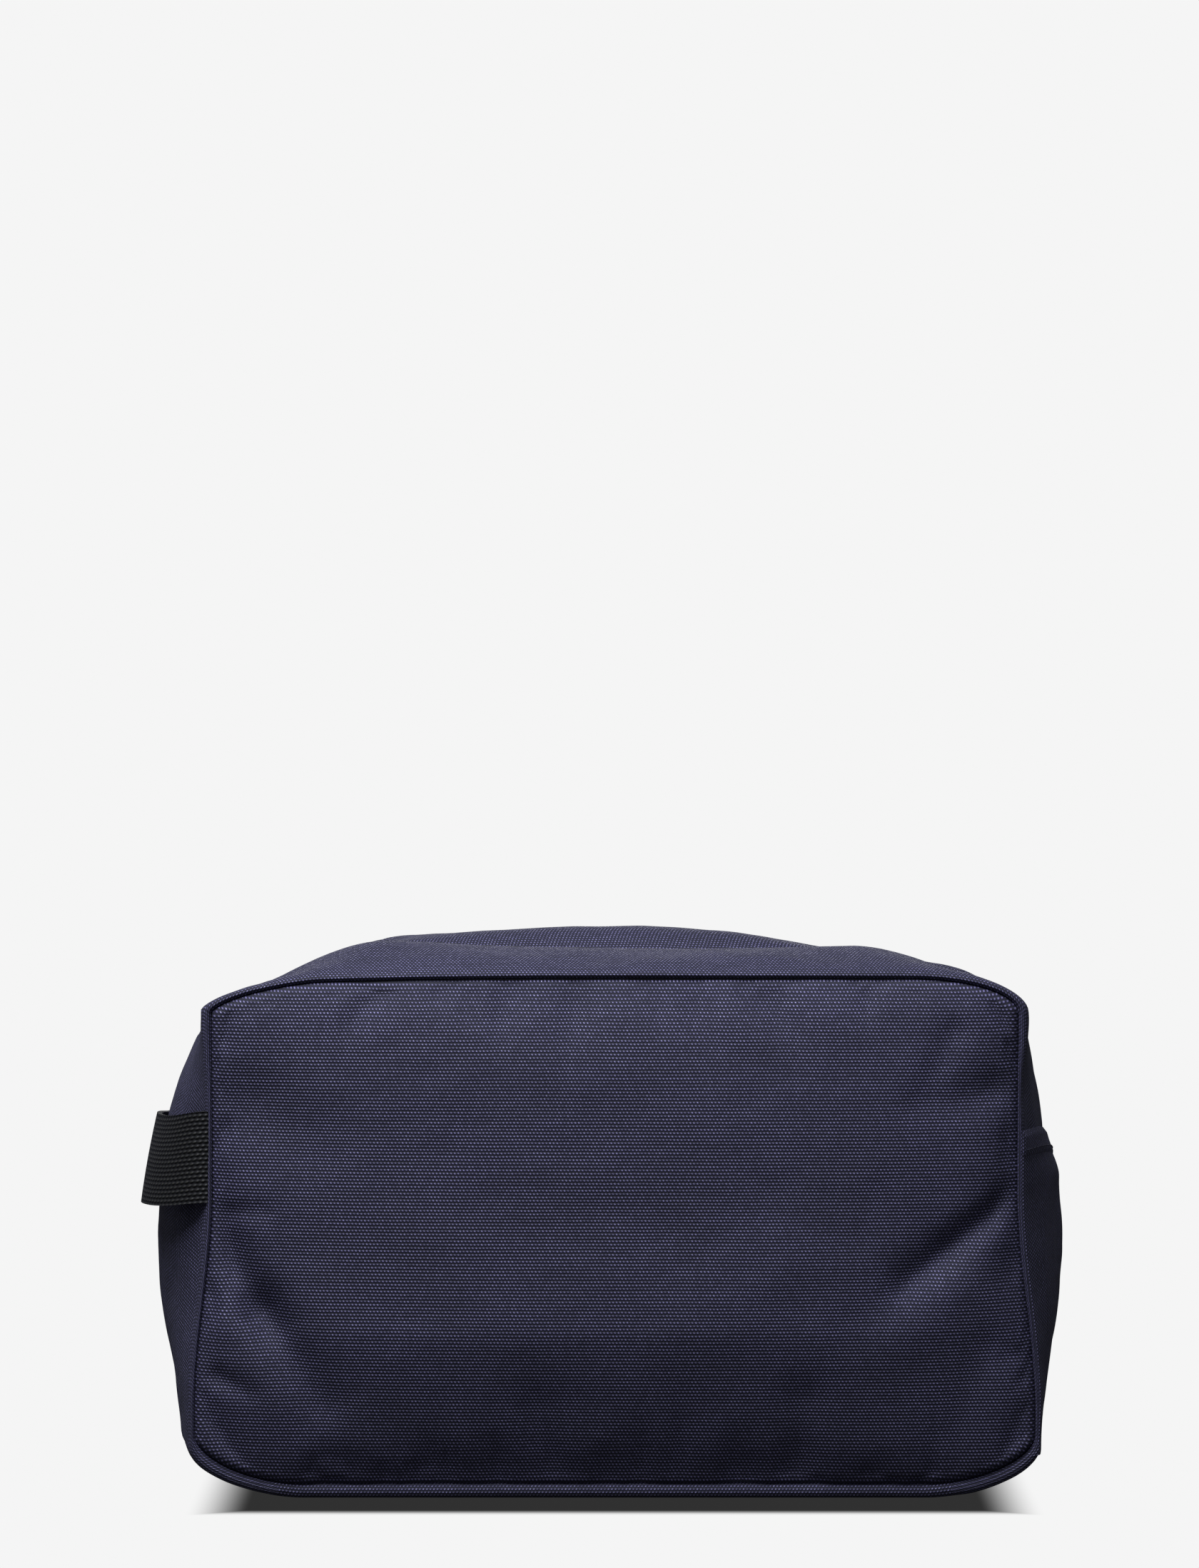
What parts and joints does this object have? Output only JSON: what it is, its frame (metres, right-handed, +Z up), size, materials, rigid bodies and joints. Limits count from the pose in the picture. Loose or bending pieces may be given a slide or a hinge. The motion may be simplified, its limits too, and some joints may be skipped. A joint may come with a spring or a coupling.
{
  "type": "wash bag",
  "caption": "Soft zipped wash bag for shaving things: two padded panels, an end-and-bottom gusset, a zip in a valley between two top bands, a webbing grab handle and a side slip pocket.",
  "frame": {"origin": "middle of the flat base that the bag stands on", "axes": "+Z up, -Y out of the plain front panel, -X towards the end with the handle, +X towards the end with the slip pocket"},
  "size_m": [0.3073, 0.1376, 0.1745],
  "materials": {
    "canvas": "woven",
    "foam": "matte",
    "lining": "satin",
    "binding": "matte",
    "mesh": "matte",
    "label": "satin",
    "webbing": "woven",
    "zip_tape": "woven",
    "coil": "satin",
    "stops": "satin",
    "slider": "satin"
  },
  "bodies": {
    "bag": {"front_panel": "canvas", "rear_panel": "canvas", "bottom_gusset": "canvas", "left_end_gusset": "canvas", "right_end_gusset": "canvas", "front_padding": "foam", "rear_padding": "foam", "bottom_padding": "foam", "lining_front": "lining", "lining_rear": "lining", "lining_bottom": "lining", "lining_left": "lining", "lining_right": "lining", "front_seam_binding": "binding", "rear_seam_binding": "binding", "inner_pocket": "mesh", "inner_pocket_elastic": "binding", "care_label": "label", "side_pocket": "canvas", "handle_webbing": "webbing", "zip_tape_ends": "zip_tape", "zip_coil_ends": "coil", "zip_top_stops": "stops", "zip_bottom_stop": "stops", "zip_end_tab": "canvas"},
    "front_flap": {"top_band_front": "canvas", "top_lining_front": "lining", "zip_tape_front": "zip_tape", "zip_coil_front": "coil"},
    "rear_flap": {"top_band_rear": "canvas", "top_lining_rear": "lining", "zip_tape_rear": "zip_tape", "zip_coil_rear": "coil"},
    "slider": {"zip_slider": "slider", "slider_bail": "slider"},
    "puller": {"pull_tab": "slider"}
  },
  "joints": [
    {"name": "front_flap_fold", "type": "hinge", "parent": "bag", "child": "front_flap", "pos_m": [0, -0.06, 0.1662], "axis": [1, 0, 0], "range_deg": [0, 105]},
    {"name": "rear_flap_fold", "type": "hinge", "parent": "bag", "child": "rear_flap", "pos_m": [0, 0.06, 0.1662], "axis": [-1, 0, 0], "range_deg": [0, 105]},
    {"name": "zip_slide", "type": "slide", "parent": "bag", "child": "slider", "axis": [1, 0, 0], "range_m": [0, 0.18]},
    {"name": "pull_tab_swing", "type": "hinge", "parent": "slider", "child": "puller", "pos_m": [-0.08, 0, 0.1671], "axis": [0, 1, 0], "range_deg": [0, 170]}
  ]
}
